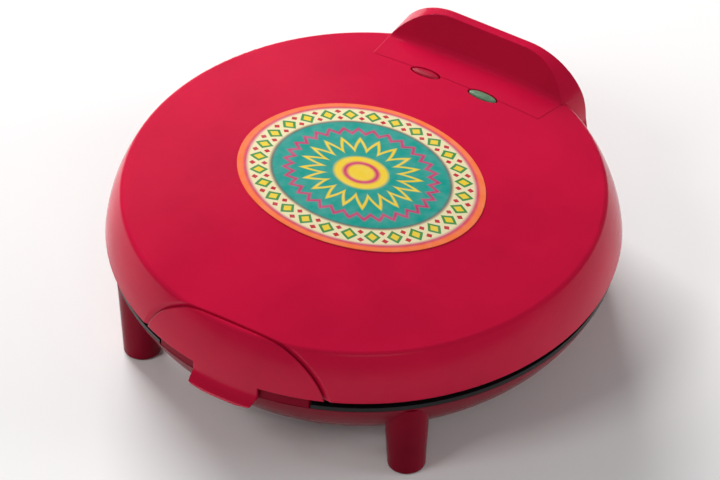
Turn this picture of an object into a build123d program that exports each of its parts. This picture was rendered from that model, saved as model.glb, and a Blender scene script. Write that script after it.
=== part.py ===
from build123d import *
import os
from math import atan2, cos, hypot, pi, radians, sin, sqrt, tan

# A round countertop cooker: two hinged halves on four legs, with a printed oval label on the lid.
# Modelled about the plates' upright axis, standing on z = 0, front towards -Y, hinge towards +Y.
# All sizes are in millimetres and degrees.

# ------------------------------------------------------------------ lid shell
rim_radius = 150.0            # lower edge of the lid
rim_height = 63.0             # that edge above the worktop
skirt_mid_inset = 3.4         # side band halfway up
skirt_mid_rise = 16.0
shoulder_inset = 9.4          # crease between side band and dome
shoulder_rise = 29.6
shoulder_round = 4.0
dome_rise = 43.5              # top of the dome above the rim
lid_wall = 2.5

# ------------------------------------------------------------------ rear crest
back_inset = 6.5              # flat rear face of lid and base, inside the rim
crest_depth = 42.0            # from that face to where the apron leaves the dome
crest_half_width = 69.0
crest_plan_corner = 8.0
crest_top_rise = 49.0         # top of the crest above the rim
crest_top_half_width = 65.4
crest_top_corner = 40.0
crest_edge = 5.6              # thickness of the crest's upper edge
crest_foot_depth = 18.5       # from the rear face to where the crest's sloping face meets the dome
cove_radius = 5.0             # hollow between that face and the apron
apron_proud = 0.15            # the apron stands this much above the dome

# ------------------------------------------------------------------ latch
seam_inset = 14.0             # flat front edge of the lid above the latch, inside the rim
seam_gap = 1.6
latch_recess = 7.0            # depth of the lid's skirt behind the latch
latch_axis_inset = 10.4
latch_axis_rise = 22.0
latch_pin_radius = 1.2
barrel_radius = 2.4
barrel_inner = 4.0            # barrels run between these two distances from the middle
barrel_outer = 12.0
latch_gap = 0.4               # round the barrels and beside the lugs
latch_lug_width = 4.5
tongue_half_width = 21.5
tongue_thickness = 2.6
tongue_drop = 12.4            # lip below the rim
tongue_lip_reach = 6.5        # lip beyond the rim
tongue_bow = 1.8
tongue_corner = 4.0
tongue_neck_reach = 0.5       # the tongue's hollow, beyond the rim
tongue_neck_drop = 5.2        # and below it
tongue_edge_lean = 0.6
tongue_back_reach = 1.4
tongue_back_rise = 1.2
tongue_hollow_rise = 4.0
tongue_base_gap = 0.8         # from the base's edge

# ------------------------------------------------------------------ base shell
base_inset = 2.4              # base edge inside the lid's rim
base_drop = 8.7               # base edge below the lid's rim
base_floor_inset = 33.6       # flat floor's edge inside the base's edge
ground_clearance = 13.7
bowl_bulge = 4.0
bowl_round = 5.0
base_wall = 2.5
lip_half_width = 50.0         # raised lip under the latch
lip_gap = 1.0
lip_wall = 2.0
lip_step = 0.3                # the lip stands this far inside the base's edge
block_half_width = 66.0       # rear hinge block
block_depth = 39.5
block_floor_drop = 26.3       # block's underside below the base's edge
block_corner = 12.0
leg_inset = 13.8              # legs' axes inside the base's edge
leg_angle = 47.5              # and their direction, from the side
leg_top_radius = 13.6
leg_foot_radius = 11.0
leg_wall = 2.6
leg_top_drop = 2.2            # top of a leg below the base's edge
pad_radius = 8.6
pad_thickness = 3.0
pad_proud = 1.2               # how far a pad stands out of its leg
pad_clearance = 0.1

# ------------------------------------------------------------------ hinge
hinge_inset = 7.0             # inside the rear face
hinge_rise = 3.0              # above the lid's rim
hinge_pin_radius = 2.0
knuckle_radius = 4.3
ear_inner = 30.0              # an ear lies between these two distances from the middle
ear_outer = 42.0
hinge_side_gap = 0.5
hinge_lug_width = 5.0
hinge_lug_height = 24.0
pin_running_clearance = 0.06
pin_seat_clearance = 0.02
lid_open_angle = 105.0
stop_gap = 0.5                # left between crest and block with the lid open
ear_slot_margin = 0.8

# ------------------------------------------------------------------ cooking plates
parting_gap = 0.4
flange_seat_gap = 0.1         # under the lower plate's flange
well_inset = 16.6             # well's edge inside the base's edge
well_draft = 1.6
lower_well_depth = 6.4
upper_well_depth = 5.4
plate_floor = 4.0
plate_wall = 3.0
flange_thickness = 2.8
upper_flange_inset = 7.6      # its edge inside the rim
screw_pad = 2.0               # the flange is thicker under its screws
screw_pad_radius = 4.0
locator_inset = 6.0
locator_wall = 2.6
locator_drop = 4.0
sections = 6
ridge_base = 9.0
ridge_crest = 3.0
lower_ridge = 4.0
upper_ridge = 3.0
hinge_relief_gap = 0.9

# ------------------------------------------------------------------ heating
element_inset = 43.0          # element's ring inside the well's edge
element_radius = 3.3
element_sunk = 1.2
element_clearance = 0.1
element_open_angle = 40.0     # left open between the element's ends
element_post = 15.0
element_pin = 8.0
element_pin_radius = 1.3
shield_inset = 7.0            # shield's edge inside the well's edge
shield_thickness = 0.8
shield_lip = 5.0
shield_hole = 24.0
plate_boss_inset = 26.0       # bosses inside the well's edge
plate_boss_radius = 5.0
plate_boss_height = 8.8
pillar_radius = 6.0
pillar_recess = 16.0          # depth of the screw's pocket below the base
post_clearance = 1.4
thermostat_radius = 12.0
thermostat_height = 8.0
thermostat_tab = 5.0
thermostat_waist = 2.0        # how far its middle is drawn in
tab_width = 6.0
tab_thickness = 0.8
fuse_radius = 2.6
fuse_length = 26.0
fuse_x = 45.0

# ------------------------------------------------------------------ screws
screw_radius = 1.5
screw_head_radius = 3.0
screw_head_height = 2.0
screw_clearance = 0.05
screw_length = 12.0
screw_end_gap = 1.0           # left between a screw's end and its bore's end
holder_bite = 3.5             # how far the lamp holder's screws reach into their posts
drive_radius = 1.3
drive_depth = 1.0
upper_screw_angles = (25, 155, 205, 335)
lid_boss_radius = 3.6
lid_boss_height = 16.0
rib_thickness = 2.5

# ------------------------------------------------------------------ covers, inlet and wiring parts
cover_radius = 48.0
cover_thickness = 2.5
cover_gap = 0.3
cover_shelf = 5.0
cover_boss_radius = 4.2
cover_boss_height = 5.0
cover_slots = 5
cover_slot_length = 52.0
cover_slot_pitch = 12.0
vent_gap = 17.0               # from the service cover to the vents
vent_length = 26.0
vent_width = 4.0
vents = 8
rear_cover_half_width = 27.0
rear_cover_height = 22.0
rear_cover_rise = 3.0         # above the block's underside
rear_cover_corner = 3.0
rear_cover_screw_x = 21.0
inlet_bore = 3.6
inlet_body = 5.6
inlet_flange = 8.0
inlet_flange_thickness = 2.4
inlet_depth = 12.0
inlet_gap = 0.1               # between the bush's flanges and the cover
terminal_width = 36.0
terminal_depth = 9.0
terminal_height = 9.0
terminal_ways = 3
terminal_x = -40.0
terminal_gap = 0.6

# ------------------------------------------------------------------ lamps and label
lamp_x = 19.6
lamp_gap = 1.7                # from the apron's front to the lamps' middle
lens_length = 19.5
lens_width = 8.0
lens_proud = 0.9
lens_flange = 1.8             # flange beyond the lens all round
lens_depth = 4.4
lens_clearance = 0.2
holder_margin = 4.5
holder_depth = 14.0
holder_height = 11.0
holder_gap = 0.4
holder_post_radius = 3.0
neon_radius = 2.8
neon_length = 9.0
label_half_length = 76.0
label_half_width = 59.5
label_centre = -2.8
label_thickness = 0.5
label_bond = 0.03

# ------------------------------------------------------------------ heights worked out from these
skirt_mid_radius = rim_radius - skirt_mid_inset
shoulder_radius = rim_radius - shoulder_inset
back_plane = rim_radius - back_inset
crest_front = back_plane - crest_depth
crest_foot_reach = back_plane - crest_foot_depth
seam_plane = rim_radius - seam_inset
latch_axis_reach = rim_radius - latch_axis_inset
base_radius = rim_radius - base_inset
base_floor_radius = base_radius - base_floor_inset
leg_x = (base_radius - leg_inset) * cos(radians(leg_angle))
leg_y = (base_radius - leg_inset) * sin(radians(leg_angle))
hinge_reach = back_plane - hinge_inset
well_radius = base_radius - well_inset
upper_flange_radius = rim_radius - upper_flange_inset
locator_outer = base_radius - locator_inset
locator_inner = locator_outer - locator_wall
element_ring = well_radius - element_inset
shield_radius = well_radius - shield_inset
plate_boss_ring = well_radius - plate_boss_inset
vent_ring = cover_radius + vent_gap + vent_length / 2
lamp_y = crest_front - lamp_gap
dome_top = rim_height + dome_rise
shoulder_height = rim_height + shoulder_rise
base_top = rim_height - base_drop
base_floor = ground_clearance + base_wall
cover_seat = ground_clearance + base_wall / 2
hinge_height = rim_height + hinge_rise
block_front = back_plane - block_depth
block_floor_height = base_top - block_floor_drop
rear_cover_bottom = block_floor_height + rear_cover_rise
land_height = base_top + flange_seat_gap + flange_thickness
upper_land = land_height + parting_gap
lower_floor = land_height - lower_well_depth - plate_floor
upper_floor = upper_land + upper_well_depth + plate_floor
block_top = hinge_height - (back_plane - hinge_reach) * tan(radians(lid_open_angle / 2)) - stop_gap
front_reach = rim_radius + tongue_lip_reach
plan_shift = (front_reach - back_plane) / 2      # puts the origin under the middle of the outline
dome_radius = (shoulder_radius**2 + (dome_rise - shoulder_rise)**2) / (2 * (dome_rise - shoulder_rise))
far = 2 * rim_radius                              # beyond every piece
upper_screw_ring = well_radius + plate_wall + lid_boss_radius + cover_gap
cover_screw_ring = cover_radius - cover_shelf / 2
holder_post_x = lamp_x + lens_length / 2 + lens_flange + holder_post_radius + holder_gap
holder_half_width = holder_post_x + holder_margin
terminal_y = shield_radius + shield_thickness + terminal_gap + terminal_depth / 2
latch_axis_height = rim_height + latch_axis_rise
latch_pin_reach = barrel_outer + latch_gap + latch_lug_width


# ------------------------------------------------------------------ helpers
def post(radius, low, high, x=0, y=0):
    """Upright cylinder between two heights."""
    centred = (Align.CENTER, Align.CENTER, Align.MIN)
    return Pos(x, y, low) * Cylinder(radius, high - low, align=centred)


def bar(radius, low_x, high_x, y, z):
    """Cylinder along X."""
    centred = (Align.CENTER, Align.CENTER, Align.MIN)
    return Pos(low_x, y, z) * Rot(0, 90, 0) * Cylinder(radius, high_x - low_x, align=centred)


def block(x0, x1, y0, y1, z0, z1):
    """Box between two corners."""
    return Pos((x0 + x1) / 2, (y0 + y1) / 2, (z0 + z1) / 2) * Box(x1 - x0, y1 - y0, z1 - z0)


def turned(face):
    """Solid of revolution of a face drawn as radius and height."""
    return revolve(Plane.XZ * face, Axis.Z)


def circle_through(a, b, c):
    """Centre and radius of the circle through three points."""
    d = 2 * (a[0] * (b[1] - c[1]) + b[0] * (c[1] - a[1]) + c[0] * (a[1] - b[1]))
    qa, qb, qc = (p[0]**2 + p[1]**2 for p in (a, b, c))
    x = (qa * (b[1] - c[1]) + qb * (c[1] - a[1]) + qc * (a[1] - b[1])) / d
    y = (qa * (c[0] - b[0]) + qb * (a[0] - c[0]) + qc * (b[0] - a[0])) / d
    return (x, y), hypot(a[0] - x, a[1] - y)


def outer_crossing(c1, r1, c2, r2):
    """The crossing of two circles that lies furthest from the axis."""
    dx = c2[0] - c1[0]
    dy = c2[1] - c1[1]
    d = hypot(dx, dy)
    along = (r1**2 - r2**2 + d**2) / (2 * d)
    side = sqrt(r1**2 - along**2)
    mx = c1[0] + along * dx / d
    my = c1[1] + along * dy / d
    return max((mx - side * dy / d, my + side * dx / d), (mx + side * dy / d, my - side * dx / d))


def arc_about(centre, start, end):
    """Arc from start to end about a centre, the short way round."""
    r = hypot(start[0] - centre[0], start[1] - centre[1])
    a0 = atan2(start[1] - centre[1], start[0] - centre[0])
    a1 = atan2(end[1] - centre[1], end[0] - centre[0])
    mid = (a0 + a1) / 2
    return ThreePointArc(start, (centre[0] + r * cos(mid), centre[1] + r * sin(mid)), end)


skirt_centre, skirt_arc = circle_through(
    (shoulder_radius, shoulder_height),
    (skirt_mid_radius, rim_height + skirt_mid_rise),
    (rim_radius, rim_height),
)


def dome_height(radius):
    """Height of the dome's outer surface at a distance from the axis."""
    return dome_top - dome_radius + sqrt(dome_radius**2 - radius**2)


def lid_form(inset=0.0, bottom=rim_height):
    """The lid's solid form, drawn in all round by inset."""
    dome_centre = (0, dome_top - dome_radius)
    corner = outer_crossing(dome_centre, dome_radius - inset, skirt_centre, skirt_arc - inset)
    foot_x = skirt_centre[0] + sqrt((skirt_arc - inset)**2 - (rim_height - skirt_centre[1])**2)
    crown = (0, dome_top - inset)
    outline = [
        arc_about(dome_centre, crown, corner),
        arc_about(skirt_centre, corner, (foot_x, rim_height)),
        Polyline((foot_x, rim_height), (foot_x, bottom - 1), (0, bottom - 1), crown),
    ]
    face = make_face(outline)
    crease = face.vertices().sort_by_distance((corner[0], corner[1], 0))[0]
    face = fillet(crease, max(shoulder_round - inset, shoulder_round / 4))
    return turned(face) & block(-far, far, -far, far, bottom, far)


def rear_plan(half_width, front, back, corner, low, high):
    """Upright block with rounded rear corners."""
    outline = Pos(0, (front + back) / 2) * Rectangle(2 * half_width, back - front)
    outline = fillet(outline.vertices().group_by(Axis.Y)[-1], corner)
    return extrude(Pos(0, 0, low) * outline, high - low)


def crest_block(inset=0.0, bottom=rim_height):
    """The crest as a full block, drawn in by inset, before its hollow is scooped."""
    top = rim_height + crest_top_rise - inset
    r = crest_top_corner - inset
    half = crest_top_half_width - inset
    spread = crest_half_width - inset
    shoulder = top - r
    diagonal = half - r + r * cos(pi / 4)
    outline = [
        Polyline((-half, shoulder), (-spread, bottom), (spread, bottom), (half, shoulder)),
        ThreePointArc((half, shoulder), (diagonal, shoulder + r * sin(pi / 4)), (half - r, top)),
        Line((half - r, top), (r - half, top)),
        ThreePointArc((r - half, top), (-diagonal, shoulder + r * sin(pi / 4)), (-half, shoulder)),
    ]
    front_view = extrude(Plane.XZ * make_face(outline), far, both=True)
    plan = rear_plan(spread, crest_front, back_plane - inset, crest_plan_corner - inset, bottom, top)
    return plan & front_view


def crest_scoop(outset=0.0):
    """The hollow in front of the crest, grown by outset: a sloping face that rounds into the dome."""
    foot = (crest_foot_reach, dome_height(crest_foot_reach))
    head = (back_plane - crest_edge, rim_height + crest_top_rise)
    run = head[0] - foot[0]
    climb = head[1] - foot[1]
    slope = hypot(run, climb)
    shift = (outset * climb / slope, -outset * run / slope)
    low = (foot[0] - run + shift[0], foot[1] - climb + shift[1])
    high = (head[0] + run + shift[0], head[1] + climb + shift[1])
    side_view = make_face(Polyline(low, high, (0, high[1]), (0, low[1]), close=True))
    tool = extrude(Plane.YZ * side_view, crest_half_width, both=True)
    tool -= Pos(0, 0, dome_top - dome_radius) * Sphere(dome_radius + apron_proud - outset)
    creases = tool.edges().filter_by(lambda e: abs(e.center().Y - crest_foot_reach) < cove_radius)
    tool = fillet(creases.sort_by(SortBy.LENGTH)[-1], cove_radius + outset)
    half = crest_half_width - crest_edge + outset
    corner = max(crest_plan_corner - crest_edge, lid_wall / 2) + outset
    return tool & rear_plan(half, 0, back_plane - crest_edge + outset, corner, 0, far)


def screw(x, y, under_head, length, up=True):
    """Pan screw; its head is below under_head when it drives upwards."""
    way = 1 if up else -1
    shank = Pos(x, y, under_head + way * length / 2) * Cylinder(screw_radius, length)
    head_z = under_head - way * screw_head_height / 2
    head = Pos(x, y, head_z) * Cylinder(screw_head_radius, screw_head_height)
    drive_z = under_head - way * (screw_head_height - drive_depth / 2)
    drive = Pos(x, y, drive_z) * Cylinder(drive_radius, drive_depth)
    return shank + head - drive


def polar(radius, angle):
    """Point on a circle about the plates' axis."""
    return radius * cos(radians(angle)), radius * sin(radians(angle))


boss_angles = [45 + 90 * i for i in range(4)]
mirror_pair = (-1, 1)


def span(side, inner, outer):
    """Low and high X of a stretch between two distances from the middle, on one side."""
    return (inner, outer) if side > 0 else (-outer, -inner)


# ------------------------------------------------------------------ lid
def lid_housing():
    keep = block(-far, far, -seam_plane, back_plane, 0, far)
    keep_inner = block(-far, far, lid_wall - seam_plane, back_plane - lid_wall, 0, far)
    open_bottom = rim_height - 1
    outer = (lid_form() & keep) + lid_form(latch_recess) + (crest_block() - crest_scoop())
    inner = lid_form(lid_wall, open_bottom) & keep_inner
    inner += lid_form(latch_recess + lid_wall, open_bottom) & block(-far, far, -far, 0, 0, far)
    inner += crest_block(lid_wall, open_bottom) - crest_scoop(lid_wall)
    outer = outer & block(-far, far, -far, back_plane, 0, far)
    shell = outer - inner
    shell += lid_bosses(outer) + hinge_lugs() + latch_lugs() + holder_posts()
    shell -= hinge_cuts()
    shell -= bar(latch_pin_radius + pin_seat_clearance, -latch_pin_reach, latch_pin_reach, -latch_axis_reach,
                 latch_axis_height)
    for side in mirror_pair:
        x0, x1 = span(side, barrel_inner - latch_gap, barrel_outer + latch_gap)
        shell -= bar(barrel_radius + latch_gap, x0, x1, -latch_axis_reach, latch_axis_height)
    for side in mirror_pair:
        hole = Ellipse(lens_length / 2 + lens_clearance, lens_width / 2 + lens_clearance)
        shell -= extrude(Pos(side * lamp_x, lamp_y, rim_height) * hole, dome_rise)
    return shell


def lid_bosses(outer):
    """Bosses that take the upper plate's screws, each tied to the side band by a rib."""
    made = Part()
    low = upper_land + flange_thickness + screw_pad
    for angle in upper_screw_angles:
        x, y = polar(upper_screw_ring, angle)
        rib = block(upper_screw_ring, rim_radius, -rib_thickness / 2, rib_thickness / 2,
                    rim_height + base_wall, low + lid_boss_height)
        boss = post(lid_boss_radius, low, low + lid_boss_height, x, y) + Rot(0, 0, angle) * rib
        made += boss - post(screw_radius + screw_clearance, low, low + screw_length, x, y)
    return made & (outer + block(-far, far, -far, far, 0, rim_height) - block(-far, far, -far, far, 0, low))


def hinge_lugs():
    made = Part()
    for side in mirror_pair:
        for inner in (ear_inner - hinge_side_gap - hinge_lug_width, ear_outer + hinge_side_gap):
            x0, x1 = span(side, inner, inner + hinge_lug_width)
            lug = block(x0, x1, hinge_reach - knuckle_radius, back_plane - lid_wall / 2,
                        hinge_height, hinge_height + hinge_lug_height)
            lug += bar(knuckle_radius, x0, x1, hinge_reach, hinge_height)
            made += lug - bar(hinge_pin_radius + pin_running_clearance, x0 - 1, x1 + 1,
                              hinge_reach, hinge_height)
    return made


def hinge_cuts():
    """Slots in the lid's rear wall that the ears swing through."""
    made = Part()
    wall_distance = back_plane - hinge_reach
    slot_top = hinge_height + wall_distance * tan(radians(lid_open_angle - 90)) + knuckle_radius
    for side in mirror_pair:
        x0, x1 = span(side, ear_inner - hinge_side_gap, ear_outer + hinge_side_gap)
        made += block(x0, x1, hinge_reach, back_plane + 1, rim_height - 1, slot_top + ear_slot_margin)
    return made


def latch_lugs():
    made = Part()
    z = latch_axis_height
    for side in mirror_pair:
        start = barrel_outer + latch_gap
        x0, x1 = span(side, start, start + latch_lug_width)
        lug = bar(barrel_radius - pin_running_clearance, x0, x1, -latch_axis_reach, z)
        made += lug + block(x0, x1, -latch_axis_reach, lid_wall - seam_plane,
                            z - barrel_radius, z + barrel_radius / 2)
    return made


def holder_top():
    """Top of the lamp holder, just under the lenses' flanges."""
    lowest = dome_height(hypot(lamp_x + lens_length / 2, lamp_y + lens_width / 2 + lens_flange))
    return lowest - lid_wall - lens_depth + base_wall / 2 - holder_gap


def holder_posts():
    made = Part()
    for side in mirror_pair:
        x = side * holder_post_x
        boss = post(holder_post_radius, holder_top(), dome_top, x, lamp_y) & lid_form(lid_wall / 2)
        bore_end = holder_top() + holder_bite + holder_gap
        made += boss - post(screw_radius + screw_clearance, 0, bore_end, x, lamp_y)
    return made


def lens(side):
    proud = lid_form(-lens_proud)
    low = lid_form(lens_depth)
    under = lid_form(lid_wall + pin_running_clearance)
    at = Pos(side * lamp_x, lamp_y, rim_height)
    window = extrude(at * Ellipse(lens_length / 2, lens_width / 2), far / 2)
    flange = extrude(at * Ellipse(lens_length / 2 + lens_flange, lens_width / 2 + lens_flange), far / 2)
    return (window & proud) + (flange & under) - low


def lamp_holder():
    top = holder_top()
    body = block(-holder_half_width, holder_half_width, lamp_y - holder_depth / 2, lamp_y + holder_depth / 2,
                 top - holder_height, top)
    body = fillet(body.edges().filter_by(Axis.Z), rib_thickness)
    for side in mirror_pair:
        body -= post(neon_radius + element_clearance, top - neon_length, top + 1, side * lamp_x, lamp_y)
        x = side * holder_post_x
        body -= post(screw_radius + screw_clearance, 0, top + 1, x, lamp_y)
        body -= post(screw_head_radius + screw_clearance, 0, top - screw_length / 2, x, lamp_y)
    return body


def neon_lamps():
    top = holder_top()
    made = Part()
    for side in mirror_pair:
        glass = post(neon_radius, top - neon_length + element_clearance, top, side * lamp_x, lamp_y)
        made += fillet(glass.edges().group_by(Axis.Z)[-1], neon_radius * 0.8)
    return made


def lamp_holder_screws():
    under_head = holder_top() - screw_length / 2
    length = screw_length / 2 + holder_bite
    return Part() + [screw(s * holder_post_x, lamp_y, under_head, length) for s in mirror_pair]


def label_plate():
    skin = lid_form(-label_thickness) - lid_form(-label_bond)
    outline = Pos(0, label_centre, shoulder_height) * Ellipse(label_half_length, label_half_width)
    return skin & extrude(outline, dome_rise)


# ------------------------------------------------------------------ latch
def tongue():
    """Pull tongue: follows the rim round, hollows under it and flares out to a bowed lip."""
    rim = rim_radius
    tip_z = rim_height - tongue_drop
    outer = Spline(
        (rim, rim_height),
        (rim + tongue_neck_reach, rim_height - tongue_neck_drop),
        (rim + tongue_lip_reach, tip_z + tongue_thickness),
        tangents=((0.15, -1), (0.9, -0.45)),
    )
    inner_r = base_radius + tongue_base_gap
    lip_r = rim + tongue_lip_reach
    outline = [
        outer,
        Polyline((lip_r, tip_z + tongue_thickness), (lip_r - tongue_edge_lean, tip_z),
                 (rim + tongue_back_reach, tip_z + tongue_back_rise), (inner_r, tip_z + tongue_hollow_rise),
                 (inner_r, rim_height), (rim, rim_height)),
    ]
    ring = turned(make_face(outline))
    half = tongue_half_width
    low = tip_z + tongue_bow
    edge = [
        ThreePointArc((-half, low), (0, tip_z - tongue_edge_lean), (half, low)),
        Polyline((half, low), (half, rim_height + 1), (-half, rim_height + 1), (-half, low)),
    ]
    face = make_face(edge)
    face = fillet(face.vertices().group_by(Axis.Y)[0], tongue_corner)
    return ring & extrude(Plane.XZ * face, far)


def latch():
    front = block(-far, far, -far, -seam_plane - seam_gap, 0, far)
    made = ((lid_form() - lid_form(lid_wall, rim_height - 1)) & front) + tongue()
    z = latch_axis_height
    for side in mirror_pair:
        x0, x1 = span(side, barrel_inner, barrel_outer)
        web = block(x0, x1, -rim_radius, -latch_axis_reach, z - barrel_radius, z + barrel_radius / 2)
        made += bar(barrel_radius, x0, x1, -latch_axis_reach, z) + (web & lid_form(lid_wall / 2))
        start = barrel_outer + latch_gap
        x0, x1 = span(side, start - latch_gap, start + latch_lug_width + latch_gap)
        made -= bar(barrel_radius + latch_gap, x0, x1, -latch_axis_reach, z)
    return made - bar(latch_pin_radius + pin_running_clearance, -latch_pin_reach, latch_pin_reach,
                      -latch_axis_reach, z)


def latch_pin():
    return bar(latch_pin_radius, -latch_pin_reach, latch_pin_reach, -latch_axis_reach, latch_axis_height)


# ------------------------------------------------------------------ cooking plates and heating
def plate_ring(flange_radius, well_depth):
    """Plate in section: depth runs from the flat edge away from the food."""
    back = well_depth + plate_floor
    points = [
        (0, well_depth),
        (well_radius - well_draft, well_depth),
        (well_radius, 0),
        (flange_radius, 0),
        (flange_radius, flange_thickness),
        (well_radius + plate_wall, flange_thickness),
        (well_radius + plate_wall - well_draft, back),
        (0, back),
    ]
    return turned(make_face(Polyline(*points, close=True)))


def ridges(height, well_depth):
    """Raised bars that mark the sections, standing on the well's floor."""
    half_base = ridge_base / 2
    half_crest = ridge_crest / 2
    section = Polyline((-half_base, well_depth), (half_base, well_depth), (half_crest, well_depth - height),
                       (-half_crest, well_depth - height), close=True)
    rail = extrude(Plane.YZ * make_face(section), well_radius - well_draft / 2, both=True)
    made = Part()
    for i in range(sections // 2):
        made += Rot(0, 0, 90 + i * 360 / sections) * rail
    return made & post(well_radius - well_draft / 2, 0, well_depth)


def plate_back(well_depth):
    """Bosses for the shield on the back of a plate, and the element's groove as a second value."""
    back = well_depth + plate_floor
    bosses = Part()
    for angle in boss_angles:
        bosses += post(plate_boss_radius, back, back + plate_boss_height, *polar(plate_boss_ring, angle))
    groove = Torus(element_ring, element_radius + element_clearance)
    return bosses, Pos(0, 0, back + element_radius - element_sunk) * groove


def cooking_plate(flange_radius, well_depth, ridge_height, extra, cuts):
    bosses, groove = plate_back(well_depth)
    made = plate_ring(flange_radius, well_depth) + ridges(ridge_height, well_depth) + bosses + extra
    made -= groove
    back = well_depth + plate_floor
    for angle in boss_angles:
        x, y = polar(plate_boss_ring, angle)
        made -= post(screw_radius + screw_clearance, back, back + plate_boss_height + 1, x, y)
    relief_front = hinge_reach - knuckle_radius - hinge_relief_gap
    made -= block(-block_half_width, block_half_width, relief_front, far, -far, far) - post(
        well_radius + plate_wall, -far, far)
    return made - cuts


def upper_plate():
    pads = Part()
    holes = Part()
    for angle in upper_screw_angles:
        x, y = polar(upper_screw_ring, angle)
        pads += post(screw_pad_radius, 0, flange_thickness + screw_pad, x, y)
        holes += post(screw_radius + screw_clearance, -1, far, x, y)
        holes += post(screw_head_radius + screw_clearance, -1, screw_head_height + screw_clearance, x, y)
    made = cooking_plate(upper_flange_radius, upper_well_depth, upper_ridge, pads, holes)
    return Pos(0, 0, upper_land) * made


def lower_plate():
    locator = turned(Pos((locator_inner + locator_outer) / 2, flange_thickness + locator_drop / 2)
                     * Rectangle(locator_outer - locator_inner, locator_drop))
    lip = block(-lip_half_width - lip_gap, lip_half_width + lip_gap, -far, 0, -far, far)
    lip -= post(base_radius - lip_step - lip_wall - cover_gap, -far, far)
    rear = block(-far, far, hinge_reach - knuckle_radius, far, -far, far)
    rear -= post(well_radius + plate_wall, -far, far)
    made = cooking_plate(base_radius, lower_well_depth, lower_ridge, locator, lip + rear)
    return Pos(0, 0, land_height) * mirror(made, about=Plane.XY)


def element(back, way):
    """Tubular ring with its two ends turned away from the plate."""
    z = back + way * (element_radius - element_sunk)
    start = 90 + element_open_angle / 2
    arc = 360 - element_open_angle
    section = Plane.XZ * (Pos(element_ring, z) * Circle(element_radius))
    made = Rot(0, 0, start) * revolve(section, Axis.Z, revolution_arc=arc)
    for angle in (start, start + arc):
        x, y = polar(element_ring, angle)
        end = z + way * element_post
        made += Pos(x, y, z) * Sphere(element_radius)
        made += post(element_radius, min(z, end), max(z, end), x, y)
        tip = end + way * element_pin
        made += post(element_pin_radius, min(end, tip), max(end, tip), x, y)
    return made


def heat_shield(near, way):
    """Spun steel disc carried by the plate's bosses, with its edge turned towards the plate."""
    edge = near - way * shield_lip
    points = [
        (shield_hole, near),
        (shield_radius - shield_thickness, near),
        (shield_radius, edge),
        (shield_radius + shield_thickness, edge),
        (shield_radius, near + way * shield_thickness),
        (shield_hole, near + way * shield_thickness),
    ]
    made = turned(make_face(Polyline(*points, close=True)))
    for angle in boss_angles:
        x, y = polar(plate_boss_ring, angle)
        made -= post(screw_radius + screw_clearance, near - 2, near + 2, x, y)
    for side in mirror_pair:
        x, y = polar(element_ring, 90 + side * element_open_angle / 2)
        made -= post(element_radius + post_clearance, near - 2, near + 2, x, y)
    return made


lower_shield_near = lower_floor - plate_boss_height
upper_shield_near = upper_floor + plate_boss_height
lower_shield_low = lower_shield_near - shield_thickness


def upper_shield_screws():
    made = Part()
    for angle in boss_angles:
        x, y = polar(plate_boss_ring, angle)
        made += screw(x, y, upper_shield_near + shield_thickness, plate_boss_height, up=False)
    return made


def lower_plate_screws():
    made = Part()
    for angle in boss_angles:
        x, y = polar(plate_boss_ring, angle)
        under_head = ground_clearance + pillar_recess
        made += screw(x, y, under_head, lower_shield_near + plate_boss_height - screw_end_gap - under_head)
    return made


def upper_plate_screws():
    made = Part()
    for angle in upper_screw_angles:
        x, y = polar(upper_screw_ring, angle)
        made += screw(x, y, upper_land + screw_head_height + screw_clearance, screw_length)
    return made


def thermostat(near, way):
    """Bimetal disc switch on the back of a plate, with its two tabs."""
    end = near + way * thermostat_height
    made = post(thermostat_radius, min(near, end), max(near, end))
    waist = near + way * thermostat_height / 3
    made -= post(far, min(near, waist), max(near, waist)) - post(
        thermostat_radius - thermostat_waist, min(near, waist), max(near, waist))
    for side in mirror_pair:
        x = side * thermostat_radius / 2
        tip = end + way * thermostat_tab
        made += block(x - tab_thickness / 2, x + tab_thickness / 2, -tab_width / 2, tab_width / 2,
                      min(end, tip), max(end, tip))
    return made


def thermal_fuse():
    """Sleeved fuse held under the lower shield by its saddle."""
    z = lower_shield_low - fuse_radius - element_clearance
    made = Pos(fuse_x, 0, z) * Rot(90, 0, 0) * Cylinder(fuse_radius, fuse_length)
    for side in mirror_pair:
        lead = Rot(90, 0, 0) * Cylinder(fuse_radius / 4, fuse_length / 3)
        made += Pos(fuse_x, side * (fuse_length / 2 + fuse_length / 6), z) * lead
    return made


# ------------------------------------------------------------------ base
def bowl_form(inset=0.0):
    """The bowl's solid form, drawn in by inset."""
    top = (base_radius, base_top)
    low = (base_floor_radius, ground_clearance)
    chord = hypot(top[0] - low[0], top[1] - low[1])
    out = ((top[1] - low[1]) / chord, (low[0] - top[0]) / chord)
    bulge = ((top[0] + low[0]) / 2 + bowl_bulge * out[0], (top[1] + low[1]) / 2 + bowl_bulge * out[1])
    centre, r = circle_through(top, bulge, low)
    r -= inset
    floor = ground_clearance + inset
    edge_x = centre[0] + sqrt(r**2 - (base_top - centre[1])**2)
    floor_x = centre[0] + sqrt(r**2 - (floor - centre[1])**2)
    high = base_top + (1 if inset else 0)
    outline = [
        arc_about(centre, (edge_x, base_top), (floor_x, floor)),
        Polyline((floor_x, floor), (0, floor), (0, high), (edge_x, high), (edge_x, base_top))
        if inset else Polyline((floor_x, floor), (0, floor), (0, high), (edge_x, high)),
    ]
    face = make_face(outline)
    corner = face.vertices().sort_by_distance((floor_x, floor, 0))[0]
    return turned(fillet(corner, max(bowl_round - inset, base_wall)))


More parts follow.
